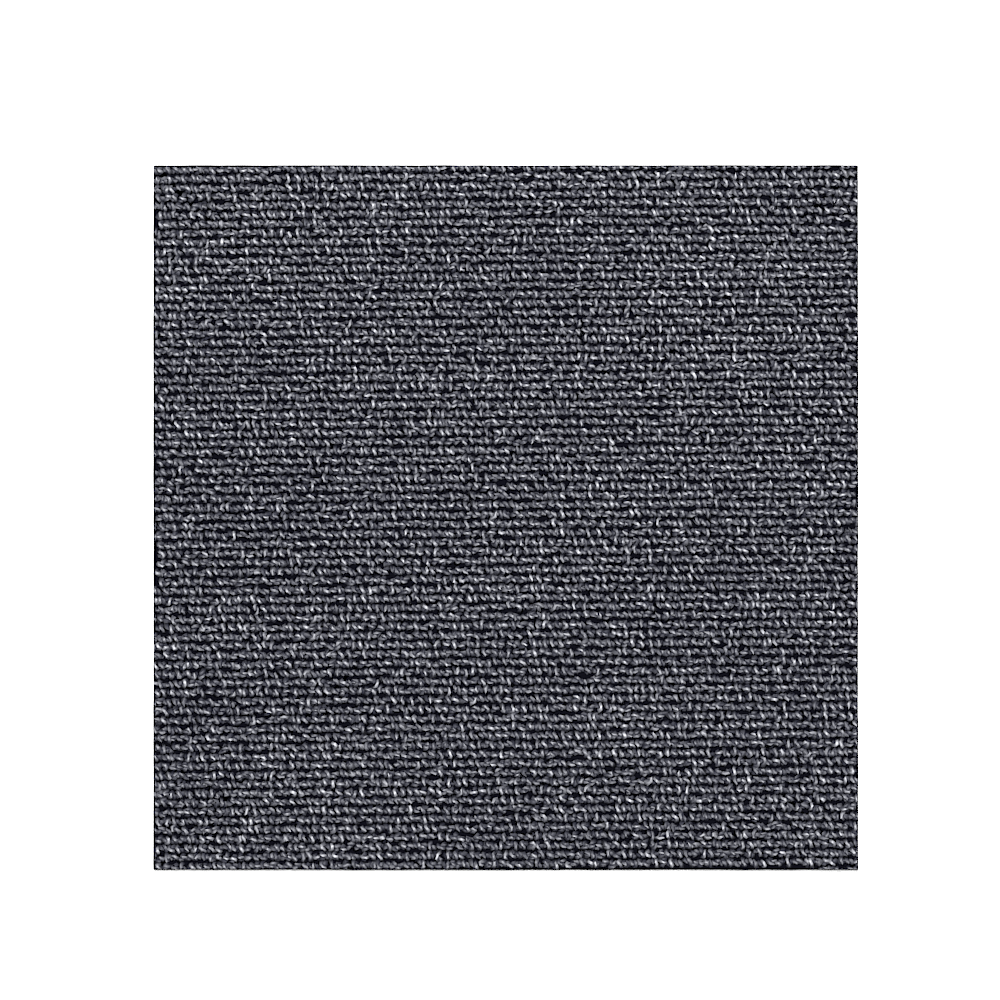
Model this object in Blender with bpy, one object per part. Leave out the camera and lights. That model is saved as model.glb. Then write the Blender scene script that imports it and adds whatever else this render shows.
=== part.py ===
"""Square loop-pile carpet tile, 12 inches a side, lying face up.

Three bonded layers, from the floor up: a heavy dark backing sheet, the woven primary cloth that the
yarn is stitched through, and the loop pile, whose loops stand in straight rows along X. The tile is
cut from a roll whose rows run slightly askew to the cut, so the front and back cuts leave part rows.

Metres, +Z up. The origin is the middle of the underside.
"""

import math

import bmesh
import bpy
from mathutils import Matrix

# Plan of the tile
TILE_SIDE = 0.3048  # square, 12 in
PILE_SETBACK = 0.0005  # the cut pile springs back from the knife and bares this much backing

# Layers, from the floor up
BACKING_THICKNESS = 0.0022
CLOTH_THICKNESS = 0.0004
PILE_HEIGHT = 0.0032
BOND_GAP = 0.0003  # film of adhesive between two layers, left clear

# Rows of loops
ROW_PITCH = 0.00396  # row to row, the 5/32 in gauge of the tufting needles
GROOVE_WIDTH = 0.0008  # clear width between two rows
ROW_OFFSET = 0.0011  # middle of the middle row, behind the middle of the tile
ROW_SKEW = math.radians(0.46)  # rows against the cut edge, seen from above
ROOT_WEB = 0.0006  # packed roots of the yarn, which join the rows
CROWN_RISE = 0.0012  # rounded top of a row, above its upright flanks
CROWN_STEPS = 8  # facets over one crown

# Levels
CLOTH_BOTTOM = BACKING_THICKNESS + BOND_GAP
PILE_BOTTOM = CLOTH_BOTTOM + CLOTH_THICKNESS + BOND_GAP
PILE_SIDE = TILE_SIDE - 2 * PILE_SETBACK


def clear_scene():
    """Removes whatever the scene holds."""
    for old in list(bpy.data.objects):
        bpy.data.objects.remove(old)


def plain_material(name, colour, roughness):
    """A Principled material of one colour, with no metal in it."""
    material = bpy.data.materials.new(name)
    material.use_nodes = True
    shader = material.node_tree.nodes["Principled BSDF"]
    shader.inputs["Base Color"].default_value = (*colour, 1.0)
    shader.inputs["Roughness"].default_value = roughness
    shader.inputs["Metallic"].default_value = 0.0
    return material


def add_object(name, shape, level, material=None):
    """Puts a bmesh into the scene as an object whose own floor is at the given level."""
    mesh = bpy.data.meshes.new(name)
    shape.to_mesh(mesh)
    shape.free()
    item = bpy.data.objects.new(name, mesh)
    item.location.z = level
    if material:
        mesh.materials.append(material)
    bpy.context.scene.collection.objects.link(item)
    return item


def slab(size_x, size_y, bottom, top):
    """A rectangular block centred on the Z axis, between two levels."""
    shape = bmesh.new()
    bmesh.ops.create_cube(shape, size=1.0)
    bmesh.ops.scale(shape, vec=(size_x, size_y, top - bottom), verts=shape.verts)
    bmesh.ops.translate(shape, vec=(0.0, 0.0, (bottom + top) / 2), verts=shape.verts)
    return shape


def crown_points(row_y):
    """(y, z) over one row, front to back: flank, half-ellipse crown, flank."""
    half_width = (ROW_PITCH - GROOVE_WIDTH) / 2
    flank_top = PILE_HEIGHT - CROWN_RISE
    points = [(row_y - half_width, ROOT_WEB)]
    for step in range(CROWN_STEPS + 1):
        angle = math.pi * (1 - step / CROWN_STEPS)
        points.append(
            (row_y + half_width * math.cos(angle), flank_top + CROWN_RISE * math.sin(angle))
        )
    points.append((row_y + half_width, ROOT_WEB))
    return points


def ribbed_sheet():
    """All the rows as one ribbed sheet, which runs past the pile at the front and at the back.

    Each row's end is its own face, which shares the middle of each groove with the next row's.
    The ends are drawn out along X, and the sheet is then sheared to lay the rows askew.
    """
    half = PILE_SIDE / 2
    overrun = half * math.tan(ROW_SKEW) + abs(ROW_OFFSET) + ROW_PITCH
    rows_each_way = math.ceil((half + overrun) / ROW_PITCH)
    shape = bmesh.new()

    def corner(y, z):
        return shape.verts.new((-half, y, z))

    groove_y = ROW_OFFSET - (rows_each_way + 0.5) * ROW_PITCH
    front_low, front_high = corner(groove_y, 0.0), corner(groove_y, ROOT_WEB)
    for row in range(-rows_each_way, rows_each_way + 1):
        row_y = ROW_OFFSET + row * ROW_PITCH
        groove_y = row_y + ROW_PITCH / 2
        back_low, back_high = corner(groove_y, 0.0), corner(groove_y, ROOT_WEB)
        crown = [corner(y, z) for y, z in crown_points(row_y)]
        shape.faces.new([front_low, front_high, *crown, back_high, back_low])
        front_low, front_high = back_low, back_high

    drawn = bmesh.ops.extrude_face_region(shape, geom=shape.faces[:])["geom"]
    far_end = [item for item in drawn if isinstance(item, bmesh.types.BMVert)]
    bmesh.ops.translate(shape, vec=(PILE_SIDE, 0.0, 0.0), verts=far_end)
    shear = Matrix.Identity(3)
    shear[1][0] = math.tan(ROW_SKEW)
    bmesh.ops.transform(shape, matrix=shear.to_4x4(), verts=shape.verts)
    bmesh.ops.recalc_face_normals(shape, faces=shape.faces)
    return shape


def make_backing_sheet():
    """The heavy compound sheet that lies on the floor."""
    material = plain_material("backing compound", (0.012, 0.012, 0.014), 0.75)
    return add_object("backing_sheet", slab(TILE_SIDE, TILE_SIDE, 0.0, BACKING_THICKNESS), 0.0, material)


def make_primary_cloth():
    """The thin woven cloth that holds the tufts, cut with the backing."""
    material = plain_material("primary cloth", (0.025, 0.025, 0.028), 0.8)
    shape = slab(TILE_SIDE, TILE_SIDE, 0.0, CLOTH_THICKNESS)
    return add_object("primary_cloth", shape, CLOTH_BOTTOM, material)


def make_loop_pile():
    """The rows of loops, cut straight at the front and back of the tile."""
    material = plain_material("loop yarn", (0.11, 0.11, 0.13), 0.9)
    pile = add_object("loop_pile", ribbed_sheet(), PILE_BOTTOM, material)
    knife_shape = slab(PILE_SIDE + 2 * ROW_PITCH, PILE_SIDE, -ROW_PITCH, PILE_HEIGHT + ROW_PITCH)
    knife = add_object("front_and_back_cut", knife_shape, PILE_BOTTOM)
    knife.display_type = "WIRE"
    knife.hide_render = True
    cut = pile.modifiers.new("cut front and back", "BOOLEAN")
    cut.operation = "INTERSECT"
    cut.solver = "EXACT"
    cut.object = knife
    return pile


def main():
    """Builds the tile from the floor up."""
    clear_scene()
    make_backing_sheet()
    make_primary_cloth()
    make_loop_pile()


main()
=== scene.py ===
"""Looks of a loop-pile carpet tile: yarn, cloth and backing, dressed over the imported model.

The pile is made of real loops: in each, two plies wound round each other rise from the cloth, bend
over and go back down beside the next loop of the row. The cloth and the backing are closed sheets
with a knife-cut rim. Metres, +Z up, rows along X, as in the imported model.
"""

import logging
import math
from dataclasses import dataclass, field
from enum import Enum

import bpy
import numpy as np
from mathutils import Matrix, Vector
from numpy.typing import NDArray


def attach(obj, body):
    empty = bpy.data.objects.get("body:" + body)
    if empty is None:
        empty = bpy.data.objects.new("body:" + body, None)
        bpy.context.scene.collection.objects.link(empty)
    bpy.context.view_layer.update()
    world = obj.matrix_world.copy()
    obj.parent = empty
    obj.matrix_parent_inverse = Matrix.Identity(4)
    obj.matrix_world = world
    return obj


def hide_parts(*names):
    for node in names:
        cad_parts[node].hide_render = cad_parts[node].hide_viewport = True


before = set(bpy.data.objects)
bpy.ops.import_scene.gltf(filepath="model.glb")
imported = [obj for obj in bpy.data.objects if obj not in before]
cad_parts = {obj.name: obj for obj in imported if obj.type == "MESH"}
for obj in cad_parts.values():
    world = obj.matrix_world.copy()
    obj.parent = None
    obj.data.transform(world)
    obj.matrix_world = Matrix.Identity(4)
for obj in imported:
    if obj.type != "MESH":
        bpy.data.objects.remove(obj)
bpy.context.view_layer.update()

LOG = logging.getLogger("carpet tile")
BODY = "root"
MM = 0.001

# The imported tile's own sizes
HALF_SIDE = 152.4 * MM
BACKING_TOP = 2.2 * MM
CLOTH_BOTTOM = 2.5 * MM
CLOTH_TOP = 2.9 * MM

# Places of the two colours among the Mix node's sockets, where the names A and B are shared
MIX_A = 6
MIX_B = 7

Array = NDArray[np.float64]
Socket = bpy.types.NodeSocket


class Twist(Enum):
    """The hand of the twist that lays two plies round each other."""

    Z = 1
    S = -1


class Slot(Enum):
    """The record's material slots."""

    YARN = "loop_yarn"
    CLOTH = "primary_weave"
    BACKING = "backing_compound"


def linear(hex_colour: str) -> tuple[float, float, float, float]:
    """Turns an sRGB hex colour into linear light.

    Args:
        hex_colour: Six hex digits, as in "2a2b31".

    Returns:
        Red, green, blue and an alpha of one.
    """
    parts = [int(hex_colour[i : i + 2], 16) / 255 for i in (0, 2, 4)]
    light = [p / 12.92 if p <= 0.04045 else ((p + 0.055) / 1.055) ** 2.4 for p in parts]
    return (*light, 1.0)


def add_node(
    tree: bpy.types.NodeTree,
    kind: str,
    settings: dict[str, object] | None = None,
    inputs: dict[str | int, object] | None = None,
) -> bpy.types.Node:
    """Adds a node with its settings, its constants and its links.

    Args:
        tree: The node tree that takes the node.
        kind: Blender's name for the node, without its ShaderNode.
        settings: The node's own properties and their values.
        inputs: What goes into each socket, a constant or another node's output.

    Returns:
        The new node.
    """
    node = tree.nodes.new("ShaderNode" + kind)
    for name, value in (settings or {}).items():
        setattr(node, name, value)
    for name, value in (inputs or {}).items():
        if isinstance(value, Socket):
            tree.links.new(value, node.inputs[name])
        else:
            node.inputs[name].default_value = value
    return node


def bare_material(name: str) -> tuple[bpy.types.Material, bpy.types.NodeTree]:
    """A material with nothing in its tree.

    Args:
        name: The finish, in a maker's words.

    Returns:
        The material and its empty node tree.
    """
    material = bpy.data.materials.new(name)
    material.use_nodes = True
    material.node_tree.nodes.clear()
    return material, material.node_tree


@dataclass(frozen=True)
class PlyPattern:
    """A noise drawn out along the ply, and how far it moves the share of pale filament."""

    length: float  # of one patch, along the ply
    width: float
    detail: float
    noise_range: tuple[float, float]  # of the noise, over which the share moves
    swing: float = 0.16  # each way

    def noise(self, tree: bpy.types.NodeTree, ply: Socket) -> Socket:
        """Adds the noise.

        Args:
            tree: The yarn's node tree.
            ply: Place in the straightened ply, in metres.

        Returns:
            The noise, from 0 to 1.
        """
        scale = (1 / self.length, 1 / self.width, 1 / self.width)
        place = add_node(tree, "Mapping", inputs={"Vector": ply, "Scale": scale})
        noise = add_node(
            tree,
            "TexNoise",
            inputs={"Vector": place.outputs[0], "Scale": 1.0, "Detail": self.detail},
        )
        return noise.outputs[0]

    def share(self, tree: bpy.types.NodeTree, noise: Socket) -> Socket:
        """Adds the step from the noise to a share.

        Args:
            tree: The yarn's node tree.
            noise: The pattern's own noise.

        Returns:
            What the pattern adds to the share of pale filament.
        """
        low, high = self.noise_range
        spread = add_node(
            tree,
            "MapRange",
            inputs={
                "Value": noise,
                "From Min": low,
                "From Max": high,
                "To Min": -self.swing,
                "To Max": self.swing,
            },
        )
        return spread.outputs[0]


@dataclass(frozen=True)
class YarnFinish:
    """Bulked nylon carpet yarn, dark and pale filaments air-tangled into each ply.

    The filaments are dyed before spinning, so each ply is a heather of charcoal and grey, streaked
    along its length. The shade that falls between the loops is painted into the colour as well, so the
    roots read almost black.
    """

    charcoal: str = "3e404d"
    pale: str = "e3e4ea"
    # Colour of the painted shade that the yarn fades to with depth below the crests and in the plies'
    # creases
    root: str = "1d1e2b"
    crest_level: float = 6.0 * MM  # where a loop has the full daylight
    fade: float = 0.76 * MM  # depth below the crests at which the light is down to 1 / e
    deepest: float = 6.0  # depth, in fades, past which the light falls no further
    heather: PlyPattern = PlyPattern(1.8 * MM, 0.9 * MM, 2.0, (0.34, 0.68))
    # A streak is a bundle of filaments, because one is too fine to show
    streaks: PlyPattern = PlyPattern(2.2 * MM, 0.35 * MM, 1.0, (0.34, 0.66))
    streak_depth: float = 0.10 * MM
    streak_strength: float = 0.8
    roughness: float = 0.78
    nylon_ior: float = 1.53
    sheen: float = 0.03  # crimped filaments lie every way, so hardly any gloss is left

    def pale_share(self, tree: bpy.types.NodeTree, heather: Socket, streaks: Socket) -> Socket:
        """Adds the loop's own tone, the heather and the streaks.

        Args:
            tree: The yarn's node tree.
            heather: The heather's noise.
            streaks: The streaks' noise.

        Returns:
            Share of pale filament, from 0 to 1.
        """
        tone = add_node(tree, "Attribute", {"attribute_name": "ply_tone"}).outputs["Fac"]
        shades = add_node(
            tree,
            "Math",
            {"operation": "ADD"},
            {0: self.heather.share(tree, heather), 1: self.streaks.share(tree, streaks)},
        )
        share = add_node(
            tree, "Math", {"operation": "ADD", "use_clamp": True}, {0: shades.outputs[0], 1: tone}
        )
        return share.outputs[0]

    def daylight(self, tree: bpy.types.NodeTree) -> Socket:
        """Adds the painted light that is left: e to the minus depth over fade, times the ply's own
        opening.

        Args:
            tree: The yarn's node tree.

        Returns:
            Share of painted daylight, from 0 to 1.
        """
        place = add_node(tree, "TexCoord").outputs["Object"]
        level = add_node(tree, "SeparateXYZ", inputs={0: place}).outputs["Z"]
        depth = add_node(
            tree,
            "MapRange",
            inputs={
                "Value": level,
                "From Min": self.crest_level - self.deepest * self.fade,
                "From Max": self.crest_level,
                "To Min": -self.deepest,
                "To Max": 0.0,
            },
        )
        by_depth = add_node(tree, "Math", {"operation": "EXPONENT"}, {0: depth.outputs[0]})
        opening = add_node(tree, "Attribute", {"attribute_name": "ply_light"}).outputs["Fac"]
        light = add_node(
            tree, "Math", {"operation": "MULTIPLY"}, {0: by_depth.outputs[0], 1: opening}
        )
        return light.outputs[0]

    def material(self) -> bpy.types.Material:
        """Builds the yarn from the straightened ply's own coordinates.

        Returns:
            The material.
        """
        material, tree = bare_material("heather nylon loop yarn")
        ply = add_node(tree, "Attribute", {"attribute_name": "ply_space"}).outputs["Vector"]
        heather = self.heather.noise(tree, ply)
        streaks = self.streaks.noise(tree, ply)
        heathered = add_node(
            tree,
            "Mix",
            {"data_type": "RGBA"},
            {
                0: self.pale_share(tree, heather, streaks),
                MIX_A: linear(self.charcoal),
                MIX_B: linear(self.pale),
            },
        )
        # Painted shade: the heathered yarn fades to the root colour with depth and in the creases
        # between the plies
        colour = add_node(
            tree,
            "Mix",
            {"data_type": "RGBA"},
            {0: self.daylight(tree), MIX_A: linear(self.root), MIX_B: heathered.outputs[2]},
        )
        bump = add_node(
            tree,
            "Bump",
            inputs={
                "Height": streaks,
                "Distance": self.streak_depth,
                "Strength": self.streak_strength,
            },
        )
        shader = add_node(
            tree,
            "BsdfPrincipled",
            inputs={
                "Base Color": colour.outputs[2],
                "Roughness": self.roughness,
                "IOR": self.nylon_ior,
                "Specular IOR Level": self.sheen,
                "Normal": bump.outputs[0],
            },
        )
        add_node(tree, "OutputMaterial", inputs={"Surface": shader.outputs[0]})
        return material


@dataclass(frozen=True)
class ClothFinish:
    """Plain weave of flat black polypropylene tapes, slit from film and heat set.

    The tapes pass over and under each other, so the eye sees a small chequer of dull glints.
    """

    tape: str = "0c0c16"
    # Painted shade: a darker copy of the tape, mixed in by the fray noise
    shaded_tape: str = "040407"
    tape_pitch: float = 1.2 * MM
    tape_crown: float = 0.08 * MM
    crown_strength: float = 0.7
    frays_per_tape: float = 3.0  # the film's slit edges fray into flat strands
    roughness: float = 0.75
    polypropylene_ior: float = 1.49
    sheen: float = 0.02  # the pile shades it

    def material(self) -> bpy.types.Material:
        """Builds the weave from a chequer of tapes and the fray of their film.

        Returns:
            The material.
        """
        material, tree = bare_material("woven polypropylene tape cloth")
        place = add_node(
            tree,
            "Mapping",
            inputs={
                "Vector": add_node(tree, "TexCoord").outputs["Object"],
                "Scale": (1 / self.tape_pitch,) * 3,
            },
        )
        chequer = add_node(
            tree, "TexChecker", inputs={"Vector": place.outputs[0], "Scale": 1.0}
        )
        fray = add_node(
            tree,
            "TexNoise",
            inputs={"Vector": place.outputs[0], "Scale": self.frays_per_tape, "Detail": 2.0},
        )
        height = add_node(
            tree,
            "Math",
            {"operation": "ADD"},
            {0: chequer.outputs["Fac"], 1: fray.outputs[0]},
        )
        # Painted shade: the fray noise darkens the tape towards its shaded copy
        colour = add_node(
            tree,
            "Mix",
            {"data_type": "RGBA"},
            {0: fray.outputs[0], MIX_A: linear(self.shaded_tape), MIX_B: linear(self.tape)},
        )
        bump = add_node(
            tree,
            "Bump",
            inputs={
                "Height": height.outputs[0],
                "Distance": self.tape_crown,
                "Strength": self.crown_strength,
            },
        )
        shader = add_node(
            tree,
            "BsdfPrincipled",
            inputs={
                "Base Color": colour.outputs[2],
                "Roughness": self.roughness,
                "IOR": self.polypropylene_ior,
                "Specular IOR Level": self.sheen,
                "Normal": bump.outputs[0],
            },
        )
        add_node(tree, "OutputMaterial", inputs={"Surface": shader.outputs[0]})
        return material


@dataclass(frozen=True)
class BackingFinish:
    """Filled bitumen compound, cast hot on a belt with a fine glass tissue and die cut.

    It is a dead black with mineral grains just under the skin, and the belt leaves it dimpled.
    """

    compound: str = "121214"
    grain: str = "2a2a2d"
    grain_size: float = 0.35 * MM
    grain_range: tuple[float, float] = (0.5, 0.75)  # of the noise, from bare compound to full grain
    grain_height: float = 0.3  # of a grain, as a share of a dimple's depth
    dimple_pitch: float = 1.6 * MM
    dimple_depth: float = 0.12 * MM
    dimple_strength: float = 0.6
    roughness: float = 0.68
    bitumen_ior: float = 1.55

    def material(self) -> bpy.types.Material:
        """Builds the compound from fine grains and a soft dimple.

        Returns:
            The material.
        """
        material, tree = bare_material("cast bitumen backing compound")
        place = add_node(tree, "TexCoord").outputs["Object"]
        grains = add_node(
            tree,
            "TexNoise",
            inputs={"Vector": place, "Scale": 1 / self.grain_size, "Detail": 2.0},
        )
        dimples = add_node(
            tree, "TexVoronoi", inputs={"Vector": place, "Scale": 1 / self.dimple_pitch}
        )
        bare, full = self.grain_range
        spread = add_node(
            tree,
            "MapRange",
            inputs={
                "Value": grains.outputs[0],
                "From Min": bare,
                "From Max": full,
                "To Min": 0.0,
                "To Max": 1.0,
            },
        )
        colour = add_node(
            tree,
            "Mix",
            {"data_type": "RGBA"},
            {0: spread.outputs[0], MIX_A: linear(self.compound), MIX_B: linear(self.grain)},
        )
        height = add_node(
            tree,
            "Math",
            {"operation": "MULTIPLY_ADD"},
            {0: grains.outputs[0], 1: self.grain_height, 2: dimples.outputs["Distance"]},
        )
        bump = add_node(
            tree,
            "Bump",
            inputs={
                "Height": height.outputs[0],
                "Distance": self.dimple_depth,
                "Strength": self.dimple_strength,
            },
        )
        shader = add_node(
            tree,
            "BsdfPrincipled",
            inputs={
                "Base Color": colour.outputs[2],
                "Roughness": self.roughness,
                "IOR": self.bitumen_ior,
                "Normal": bump.outputs[0],
            },
        )
        add_node(tree, "OutputMaterial", inputs={"Surface": shader.outputs[0]})
        return material


def ring_quads(rings: int, sides: int) -> NDArray[np.int32]:
    """Quads of a tube: ring i, side j joins ring i + 1, side j + 1, and the last side the first.

    Args:
        rings: Rings along the tube.
        sides: Points round each ring.

    Returns:
        One row of four point indices for each quad.
    """
    ring, side = np.meshgrid(np.arange(rings - 1), np.arange(sides), indexing="ij")
    here = ring * sides + side
    beside = ring * sides + (side + 1) % sides
    corners = np.stack([here, beside, beside + sides, here + sides], axis=-1)
    return corners.reshape(-1, 4).astype(np.int32)


def add_piece(
    name: str,
    points: Array,
    faces: list[list[int]],
    material: bpy.types.Material,
    replaced: str | None,
) -> bpy.types.Object:
    """Puts a finished mesh into the scene as a piece of the tile.

    Args:
        name: The piece's name.
        points: One x, y, z row for each point.
        faces: Point indices of each face, seen from outside.
        material: The piece's finish.
        replaced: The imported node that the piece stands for, or None.

    Returns:
        The new object.
    """
    mesh = bpy.data.meshes.new(name)
    mesh.from_pydata(points, [], faces)
    mesh.shade_smooth()
    mesh.materials.append(material)
    piece = bpy.data.objects.new(name, mesh)
    bpy.context.scene.collection.objects.link(piece)
    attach(piece, BODY)
    if replaced:
        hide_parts(replaced)
    return piece


@dataclass(frozen=True)
class RowPlan:
    """Where the rows lie and where the knife cut them, seen from above."""

    pitch: float = 3.96 * MM
    offset: float = 1.1 * MM  # middle row behind the tile's middle
    skew: float = 0.0080  # rise to the right, per metre along the row
    bow: float = 0.011  # the skew eases to the right, per metre squared
    drift: float = 0.45 * MM  # slow stretch of the roll across the rows
    drift_length: float = 318.885 * MM  # one wave of the drift
    drift_phase: float = 0.6
    stitch: float = 3.25 * MM
    stitch_spread: float = 0.65 * MM
    between: tuple[float, float] = (2.1 * MM, 4.3 * MM)  # least and greatest distance of two holes
    reach: float = HALF_SIDE - 0.55 * MM  # of the pile, from the middle to each cut
    overrun: float = 0.9 * MM  # holes this far outside a cut still leave part of their loop
    rows_each_way: int = 39

    def row_y(self, row: int, x: Array) -> Array:
        """Y of a row: offset + row * pitch + skew * x - bow * x squared, and a slow drift.

        Args:
            row: The row's number, 0 in the middle.
            x: Places along the row.

        Returns:
            Y at each place.
        """
        level = row * self.pitch
        drift = self.drift * np.sin(2 * math.pi * level / self.drift_length + self.drift_phase)
        return self.offset + level + drift + self.skew * x - self.bow * x**2

    def holes(self, row: int, dice: np.random.Generator) -> Array:
        """The holes of one row that have a loop, or part of one, inside the cuts.

        Args:
            row: The row's number.
            dice: Seeded random numbers.

        Returns:
            One x, y row for each hole, in order along X.
        """
        limit = self.reach + self.overrun
        lead = 2 * self.stitch
        half_rows = 2.3  # enough holes for the row's two halves and some to spare
        count = int(half_rows * limit / self.stitch)
        gaps = np.clip(dice.normal(self.stitch, self.stitch_spread, count), *self.between)
        x = np.cumsum(gaps) - limit - lead
        y = self.row_y(row, x)
        keep = (np.abs(x) < limit) & (np.abs(y) < limit)
        return np.stack([x[keep], y[keep]], axis=-1)


@dataclass(frozen=True)
class SlowToneAndPaintedLight:
    """Slow lighter and darker areas of the pile's tone: a painted light that brightens the back and the
    right, and oblique patches.
    """

    depth: float = 0.034  # what a wave of height one adds to the share of pale filament
    rise: float = 0.25  # painted light, from the middle to the right
    # Height, radians along X and along Y from the middle to a cut, and phase
    waves: tuple[tuple[float, float, float, float], ...] = (
        (0.9, 0.0, 1.4, 0.2),
        (0.55, 3.6, -2.7, 1.1),
        (0.5, 5.9, 4.4, 2.0),
        (0.45, 3.1, -12.2, 0.4),
    )

    def at(self, x: Array, y: Array) -> Array:
        """The shading: depth times a rise to the right plus the waves.

        The rise and the first wave, which brightens the back, are painted light; the others are
        oblique, 75 to 210 mm long.

        Args:
            x: Places from -1 at the left cut to 1 at the right.
            y: Places from -1 at the front cut to 1 at the back.

        Returns:
            What the shading adds to the tone at each place.
        """
        slow = self.rise * x
        for height, along_x, along_y, phase in self.waves:
            slow = slow + height * np.sin(along_x * x + along_y * y + phase)
        return self.depth * slow


@dataclass(frozen=True)
class LoopShape:
    """Middle of the yarn in one loop, from foot to foot, at seven rings."""

    root: float = 0.15 * MM  # the feet end this far inside the cloth
    height: float = 3.15 * MM  # crest above the cloth
    height_spread: float = 0.10 * MM
    squeeze: float = 1.05 * MM  # from a leg's middle to where it presses on the next loop's leg
    along: tuple[float, ...] = (-0.5, -1.0, -0.74, 0.0, 0.74, 1.0, 0.5)
    up: tuple[float, ...] = (0.0, 0.48, 0.77, 1.0, 0.77, 0.48, 0.0)
    girth: tuple[float, ...] = (0.8, 1.75, 1.12, 1.0, 1.12, 1.75, 0.8)
    splay: float = 0.60 * MM  # of each leg to the side, on its way up
    splayed: tuple[float, ...] = (0.0, 1.0, 0.5, 0.0, 0.5, 1.0, 0.0)
    heading_bias: float = -12.0  # degrees from the row, seen from above
    heading_spread: float = 22.0
    lean: tuple[float, float] = (0.6 * MM, 0.45 * MM)  # of the crest, along and across the row


@dataclass(frozen=True)
class TwoPlyYarn:
    """Two plies wound round each other, each a soft uneven tube."""

    ply_radius: float = 0.80 * MM
    winding: float = 0.50 * MM  # from the yarn's middle to the middle of a ply
    lay: float = 5.8 * MM  # length of one full turn
    twist: Twist = Twist.Z
    upright: float = 1.04  # height over width of the yarn, which the rows on both sides crowd
    open_light: float = 0.62  # share of painted daylight on a ply's flank
    light_gain: float = 0.76  # painted: what a ply's outer face has above it, and its inner face, in the crease, below
    bulk_spread: float = 0.07  # unevenness of the crimped filaments
    sides: int = 5


@dataclass(frozen=True)
class Tubes:
    """Plies of some loops as arrays: tube, ring and side, then the value. A tube has one tone."""

    points: Array
    space: Array
    tone: Array
    # Painted shade of each point, darker in the crease between the two plies
    light: Array


def path_axes(middle: Array, sideways: Array) -> tuple[Array, Array, Array]:
    """Axes of each loop's yarn at each ring, and how far along the yarn the ring is.

    Args:
        middle: Middle of the yarn (loop, ring, 3).
        sideways: Unit vector across each loop's plane.

    Returns:
        Unit vectors out of the loop's arch and to its side (loop, ring, 3), and lengths from the
        first foot (loop, ring).
    """
    step = np.gradient(middle, axis=1)
    ahead = step / np.linalg.norm(step, axis=2, keepdims=True)
    outward = np.cross(ahead, sideways[:, None])
    outward /= np.linalg.norm(outward, axis=2, keepdims=True)
    hops = np.linalg.norm(np.diff(middle, axis=1), axis=2)
    length = np.pad(np.cumsum(hops, axis=1), ((0, 0), (1, 0)))
    return outward, np.cross(outward, ahead), length


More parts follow.
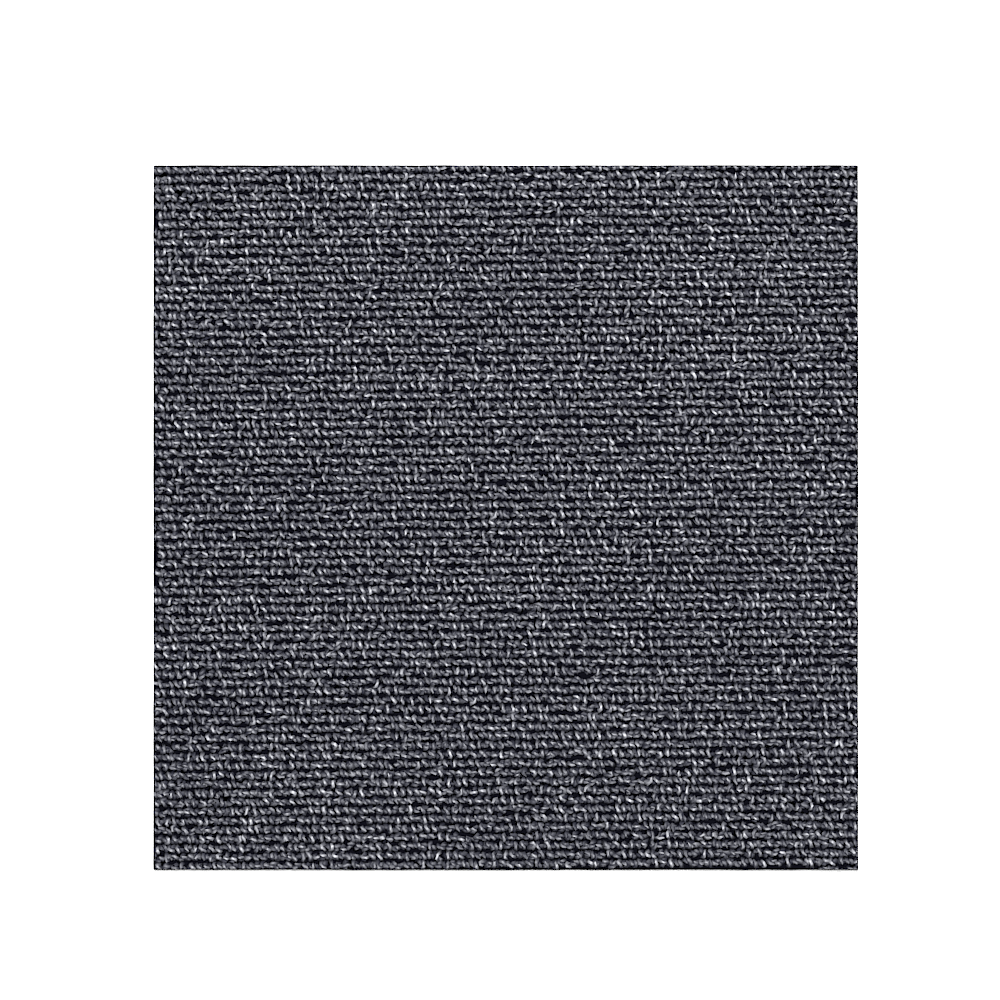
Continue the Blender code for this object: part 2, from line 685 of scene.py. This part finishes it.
@dataclass
class LoopPile:
    """The whole pile: rows of two-ply loops, gathered into bands of a few rows each."""

    plan: RowPlan = field(default_factory=RowPlan)
    loop: LoopShape = field(default_factory=LoopShape)
    yarn: TwoPlyYarn = field(default_factory=TwoPlyYarn)
    shading: SlowToneAndPaintedLight = field(default_factory=SlowToneAndPaintedLight)
    finish: YarnFinish = field(default_factory=YarnFinish)
    rows_per_band: int = 13
    mean_tone: float = 0.64  # share of pale filament
    paler_ply: float = 0.12  # what one ply has above the mean share, and the other below it
    tone_spread: float = 0.035  # from ply to ply
    row_tone_spread: float = 0.018
    fray: float = 0.25 * MM
    seed: int = 305

    def middle_line(self, holes: Array, dice: np.random.Generator) -> tuple[Array, Array]:
        """Middle of the yarn in each loop of one row.

        Each loop stands in an upright plane through its hole and reaches half way to the next hole
        on either side, less the squeeze. In that plane the yarn's middle is at that span times
        `along` from the hole, and `up` of the way from the cloth to the crest. The crest leans off
        its hole by the square of that share, and each leg strays across the row by its own splay
        times `splayed`.

        Args:
            holes: The row's holes.
            dice: Seeded random numbers.

        Returns:
            Points (loop, ring, 3), and the sideways unit vector of each loop's plane.
        """
        loop, yarn = self.loop, self.yarn
        count = len(holes)
        heading = np.radians(dice.normal(loop.heading_bias, loop.heading_spread, count))
        half_gaps = np.pad(np.diff(holes[:, 0]) / 2, 1, mode="edge") - loop.squeeze
        along = np.array(loop.along)[None, :]
        reach = np.where(along < 0, half_gaps[:-1, None], half_gaps[1:, None]) * along
        crest = loop.height + dice.normal(0.0, loop.height_spread, (count, 1))
        crest = crest - (yarn.ply_radius + yarn.winding) * yarn.upright
        share = np.array(loop.up)[None, :]
        lean = dice.normal(0.0, loop.lean, (count, 1, 2)) * (share**2)[..., None]
        splay = dice.normal(0.0, loop.splay, (count, 2))
        splay = np.where(along < 0, splay[:, :1], splay[:, 1:]) * np.array(loop.splayed)
        x = holes[:, :1] + reach * np.cos(heading)[:, None] + lean[..., 0]
        y = holes[:, 1:] + reach * np.sin(heading)[:, None] + lean[..., 1] + splay
        z = CLOTH_TOP + share * crest
        z[:, [0, -1]] -= loop.root
        sideways = np.stack([-np.sin(heading), np.cos(heading), np.zeros(count)], axis=-1)
        return np.stack([x, y, z], axis=-1), sideways

    def tones(self, holes: Array, dice: np.random.Generator) -> Array:
        """Share of pale filament in each ply of one row.

        Args:
            holes: The row's holes.
            dice: Seeded random numbers.

        Returns:
            One row for each loop, with its two plies.
        """
        plies = self.mean_tone + np.array([self.paler_ply, -self.paler_ply])[None, :]
        # Painted light: the slow brightening towards the back and the right, with oblique patches of
        # lighter and darker tone
        slow = self.shading.at(*(holes.T / self.plan.reach))
        tone = plies + slow[:, None] + dice.normal(0.0, self.row_tone_spread)
        return tone + dice.normal(0.0, self.tone_spread, (len(holes), 2))

    def row_tubes(self, row: int, dice: np.random.Generator) -> Tubes | None:
        """The plies of one row.

        A ply's middle stands off the yarn's middle by the winding, at an angle that makes one full
        turn per lay of yarn, and the other ply's is opposite. Round it the ply is a circle of its
        radius, uneven by the bulk. Both are drawn out a little in height, and the knife's cuts
        flatten what passes them.

        Args:
            row: The row's number.
            dice: Seeded random numbers.

        Returns:
            The row's tubes, or None where the cuts left no loop.
        """
        yarn = self.yarn
        holes = self.plan.holes(row, dice)
        if len(holes) < 2:
            return None
        middle, sideways = self.middle_line(holes, dice)
        outward, side, length = path_axes(middle, sideways)
        count, rings = length.shape
        full_turn = 2 * math.pi
        turn = yarn.twist.value * full_turn * length / yarn.lay
        turn = turn + dice.uniform(0.0, full_turn, (count, 1))
        turn = turn[:, None] + np.array([0.0, math.pi])[None, :, None]
        girth = np.array(self.loop.girth)[None, None, :]
        off_out = girth * yarn.winding * np.sin(turn)
        off_side = girth * yarn.winding * np.cos(turn)
        shape = (count, 2, rings, yarn.sides)
        angle = np.arange(yarn.sides) * full_turn / yarn.sides
        angle = angle + turn[..., None] + dice.uniform(0.0, full_turn, (count, 2, 1, 1))
        radius = girth[..., None] * yarn.ply_radius * (1 + dice.normal(0.0, yarn.bulk_spread, shape))
        out = yarn.upright * (off_out[..., None] + radius * np.sin(angle))
        across = off_side[..., None] + radius * np.cos(angle)
        # Painted shade: each ply is darker on its inner face, in the crease against the other ply, and
        # lighter on its outer face
        light = np.clip(yarn.open_light + yarn.light_gain * np.cos(angle - turn[..., None]), 0.0, 1.0)
        points = middle[:, None, :, None] + out[..., None] * outward[:, None, :, None]
        points = points + across[..., None] * side[:, None, :, None]
        reach = self.plan.reach - dice.uniform(0.0, self.fray, (count, 1, 1, 1, 1))
        points[..., :2] = np.clip(points[..., :2], -reach, reach)
        along = length[:, None, :, None] + dice.uniform(0.0, 1.0, (count, 2, 1, 1))
        space = [np.broadcast_to(along, shape), radius * np.cos(angle), radius * np.sin(angle)]
        flat = (count * 2, rings, yarn.sides)
        return Tubes(
            points.reshape(*flat, 3),
            np.stack(space, axis=-1).reshape(*flat, 3),
            self.tones(holes, dice).reshape(-1),
            light.reshape(flat),
        )

    def build(self) -> list[bpy.types.Object]:
        """Makes the bands of rows.

        Returns:
            One object for each band.
        """
        dice = np.random.default_rng(self.seed)
        material = self.finish.material()
        ways = self.plan.rows_each_way
        made = [self.row_tubes(row, dice) for row in range(-ways, ways + 1)]
        rows = [tubes for tubes in made if tubes is not None]
        bands = [rows[i : i + self.rows_per_band] for i in range(0, len(rows), self.rows_per_band)]
        return [self.band(number, band, material) for number, band in enumerate(bands, 1)]

    def band(self, number: int, rows: list[Tubes], material: bpy.types.Material) -> bpy.types.Object:
        """Joins some rows into one piece, each ply of each loop a closed tube.

        Args:
            number: The band's number, from the front.
            rows: Plies of the band's rows.
            material: The yarn's finish.

        Returns:
            The band.
        """
        points = np.concatenate([row.points for row in rows])
        space = np.concatenate([row.space for row in rows])
        tone = np.concatenate([row.tone for row in rows])
        light = np.concatenate([row.light for row in rows])
        tubes, rings, sides = light.shape
        first = np.arange(tubes)[:, None] * rings * sides
        quads = ring_quads(rings, sides)[None] + first[..., None]
        near_cap = np.arange(sides)[None, ::-1] + first
        far_cap = np.arange(sides)[None] + first + (rings - 1) * sides
        faces = quads.reshape(-1, 4).tolist() + near_cap.tolist() + far_cap.tolist()
        piece = add_piece(
            f"loop_rows_{number}", points.reshape(-1, 3), faces, material, "loop_pile"
        )
        for name, kind, key, values in (
            ("ply_space", "FLOAT_VECTOR", "vector", space),
            ("ply_tone", "FLOAT", "value", np.repeat(tone, rings * sides)),
            ("ply_light", "FLOAT", "value", light),
        ):
            layer = piece.data.attributes.new(name, kind, "POINT")
            layer.data.foreach_set(key, values.astype(np.float32).ravel())
        return piece


@dataclass
class CutSheet:
    """A flat layer with a knife-cut rim: a rim profile carried round a wavy square."""

    name: str
    replaced: str | None
    slot: Slot
    bottom: float
    top: float
    half_side: float = HALF_SIDE
    corner: float = 0.5 * MM
    corner_steps: int = 5
    step: float = 2.6 * MM
    rim: float = 0.12 * MM  # radius that the knife leaves
    border: float = 2.0 * MM  # flat strip inside the rim, before the face fans out from its middle
    wave: float = 0.10 * MM
    waves_in: float = 1.3  # the waves' own middle, inside the square, so that crests stay in it
    # Periods in the perimeter, and what the wave is divided by
    ripples: tuple[tuple[int, float], ...] = ((7, 2.0), (23, 3.0), (61, 4.0), (173, 5.0), (409, 5.0))
    sharp_angle: float = 35.0  # degrees, past which an edge is drawn sharp
    seed: int = 7

    def outline(self) -> tuple[Array, Array]:
        """Points round the square, and the way out at each.

        One side is a straight run and a quarter circle, and the others are its quarter turns. A
        few waves, each with whole periods in the perimeter, push it in.

        Returns:
            Points (n, 2) and unit vectors (n, 2).
        """
        dice = np.random.default_rng(self.seed)
        flat = self.half_side - self.corner
        run = np.linspace(-flat, flat, int(2 * flat / self.step), endpoint=False)
        bend = np.linspace(0.0, math.pi / 2, self.corner_steps, endpoint=False)
        x = np.concatenate([np.full(run.shape, self.half_side), flat + self.corner * np.cos(bend)])
        y = np.concatenate([run, flat + self.corner * np.sin(bend)])
        out_x = np.concatenate([np.ones(run.shape), np.cos(bend)])
        out_y = np.concatenate([np.zeros(run.shape), np.sin(bend)])
        # Each quarter turn as its matrix, row by row
        quarter = [(1, 0, 0, 1), (0, -1, 1, 0), (-1, 0, 0, -1), (0, 1, -1, 0)]
        place = np.concatenate([np.stack([a * x + b * y, c * x + d * y], -1) for a, b, c, d in quarter])
        out = np.concatenate(
            [np.stack([a * out_x + b * out_y, c * out_x + d * out_y], -1) for a, b, c, d in quarter]
        )
        turn = np.linspace(0.0, 2 * math.pi, len(place), endpoint=False)
        waves = sum(
            np.sin(periods * turn + dice.uniform(0, 2 * math.pi)) / divisor
            for periods, divisor in self.ripples
        )
        return place - out * (self.wave * (self.waves_in + waves))[:, None], out

    def build(self, material: bpy.types.Material) -> bpy.types.Object:
        """Makes the sheet: bottom face, rounded rim, side, rounded rim, top face.

        Args:
            material: The sheet's finish.

        Returns:
            The sheet.
        """
        place, out = self.outline()
        half_round = 0.3 * self.rim  # inset of a quarter circle's middle
        section = [
            (self.border, self.bottom),
            (self.rim, self.bottom),
            (half_round, self.bottom + half_round),
            (0.0, self.bottom + self.rim),
            (0.0, self.top - self.rim),
            (half_round, self.top - half_round),
            (self.rim, self.top),
            (self.border, self.top),
        ]
        rings = [
            np.concatenate([place - out * inset, np.full((len(place), 1), level)], axis=1)
            for inset, level in section
        ]
        poles = np.array([[0.0, 0.0, self.bottom], [0.0, 0.0, self.top]])
        count = len(place)
        low, high = len(rings) * count, len(rings) * count + 1
        first = np.arange(count)
        after = (first + 1) % count
        last = (len(rings) - 1) * count
        faces = ring_quads(len(rings), count).tolist()
        faces += np.stack([after, first, np.full(count, low)], axis=-1).tolist()
        faces += np.stack([first + last, after + last, np.full(count, high)], axis=-1).tolist()
        points = np.concatenate([*rings, poles])
        piece = add_piece(self.name, points, faces, material, self.replaced)
        piece.data.set_sharp_from_angle(angle=math.radians(self.sharp_angle))
        return piece


@dataclass
class LayeredBase:
    """What the pile stands in: backing, film of adhesive and woven cloth, cut together."""

    film_bite: float = 0.05 * MM  # the adhesive soaks this far into the layers that it joins
    film_inset: float = 0.20 * MM
    cloth_inset: float = 0.05 * MM
    backing_finish: BackingFinish = field(default_factory=BackingFinish)
    cloth_finish: ClothFinish = field(default_factory=ClothFinish)

    def build(self) -> list[bpy.types.Object]:
        """Makes the three sheets.

        Returns:
            One object for each sheet, from the floor up.
        """
        backing = self.backing_finish.material()
        cloth = self.cloth_finish.material()
        return [
            CutSheet("backing_slab", "backing_sheet", Slot.BACKING, 0.0, BACKING_TOP).build(backing),
            CutSheet(
                "bond_film",
                None,
                Slot.BACKING,
                BACKING_TOP - self.film_bite,
                CLOTH_BOTTOM + self.film_bite,
                half_side=HALF_SIDE - self.film_inset,
                wave=0.16 * MM,
                seed=11,
            ).build(backing),
            CutSheet(
                "woven_cloth",
                "primary_cloth",
                Slot.CLOTH,
                CLOTH_BOTTOM,
                CLOTH_TOP,
                half_side=HALF_SIDE - self.cloth_inset,
                wave=0.14 * MM,
                seed=13,
            ).build(cloth),
        ]


@dataclass(frozen=True)
class Softbox:
    """A square softbox that faces the tile."""

    name: str
    place: tuple[float, float, float]
    side: float
    watts: float

    def hang(self) -> None:
        """Puts the light into the scene, turned towards the tile's middle."""
        light = bpy.data.lights.new(self.name, "AREA")
        light.shape = "SQUARE"
        light.size = self.side
        light.energy = self.watts
        holder = bpy.data.objects.new(self.name, light)
        holder.location = self.place
        holder.rotation_euler = (-Vector(self.place)).to_track_quat("-Z", "Y").to_euler()
        bpy.context.scene.collection.objects.link(holder)


@dataclass
class Studio:
    """Pale floor, soft overhead light and a camera looking straight down."""

    frame_width: float = 432.3 * MM  # what the picture spans at the aim's level
    lens_mm: float = 150.0
    sensor_mm: float = 36.0
    aim: tuple[float, float] = (-2.5 * MM, 7.62 * MM)
    aim_level: float = CLOTH_TOP
    floor_side: float = 6.0
    floor_colour: str = "f4f4f4"
    floor_roughness: float = 0.9
    softboxes: tuple[Softbox, ...] = (
        Softbox("key softbox", (-0.1, 0.5, 2.1), 0.6, 66.0),
        Softbox("fill softbox", (0.6, -0.5, 1.9), 0.8, 16.0),
    )
    room_light: float = 0.2
    sharpening: float = 0.04

    def build_floor(self) -> bpy.types.Object:
        """Makes the floor, a plain pale square under the tile.

        Returns:
            The floor.
        """
        half = self.floor_side / 2
        corners = [(-half, -half), (half, -half), (half, half), (-half, half)]
        mesh = bpy.data.meshes.new("floor")
        mesh.from_pydata([(x, y, 0.0) for x, y in corners], [], [[0, 1, 2, 3]])
        material, tree = bare_material("matt white paper floor")
        shader = add_node(
            tree,
            "BsdfPrincipled",
            inputs={"Base Color": linear(self.floor_colour), "Roughness": self.floor_roughness},
        )
        add_node(tree, "OutputMaterial", inputs={"Surface": shader.outputs[0]})
        mesh.materials.append(material)
        floor = bpy.data.objects.new("floor", mesh)
        bpy.context.scene.collection.objects.link(floor)
        return floor

    def light_room(self, scene: bpy.types.Scene) -> None:
        """Gives the room its even white light.

        Args:
            scene: The scene that is rendered.
        """
        world = bpy.data.worlds.new("studio")
        world.use_nodes = True
        sky = world.node_tree.nodes["Background"]
        sky.inputs["Color"].default_value = linear("ffffff")
        sky.inputs["Strength"].default_value = self.room_light
        scene.world = world
        scene.view_settings.view_transform = "Standard"

    def place_camera(self, scene: bpy.types.Scene) -> None:
        """Hangs the camera over the aim, at the height from which its lens spans the frame width.

        Args:
            scene: The scene that is rendered.
        """
        camera = bpy.data.cameras.new("camera")
        camera.lens = self.lens_mm
        camera.sensor_width = self.sensor_mm
        holder = bpy.data.objects.new("camera", camera)
        distance = self.frame_width * self.lens_mm / self.sensor_mm
        holder.location = (*self.aim, self.aim_level + distance)
        scene.collection.objects.link(holder)
        scene.camera = holder

    def sharpen(self, scene: bpy.types.Scene) -> None:
        """Gives the picture the light sharpening that a product camera gives its own.

        Args:
            scene: The scene that is rendered.
        """
        scene.use_nodes = True
        tree = scene.node_tree
        tree.nodes.clear()
        layers = tree.nodes.new("CompositorNodeRLayers")
        crisp = tree.nodes.new("CompositorNodeFilter")
        crisp.filter_type = "SHARPEN"
        crisp.inputs["Fac"].default_value = self.sharpening
        out = tree.nodes.new("CompositorNodeComposite")
        tree.links.new(layers.outputs["Image"], crisp.inputs["Image"])
        tree.links.new(crisp.outputs["Image"], out.inputs["Image"])

    def build(self) -> None:
        """Makes the floor, the lights, the camera and the finish of the picture."""
        scene = bpy.context.scene
        self.build_floor()
        for softbox in self.softboxes:
            softbox.hang()
        self.light_room(scene)
        self.place_camera(scene)
        self.sharpen(scene)


def main() -> None:
    """Builds the tile from the floor up, then the studio, and reports each piece."""
    logging.basicConfig(level=logging.INFO, format="%(name)s: %(message)s")
    pieces = LayeredBase().build() + LoopPile().build()
    Studio().build()
    for piece in pieces:
        triangles = sum(len(face.vertices) - 2 for face in piece.data.polygons)
        LOG.info("%s: %d triangles", piece.name, triangles)


if __name__ == "__main__":
    main()
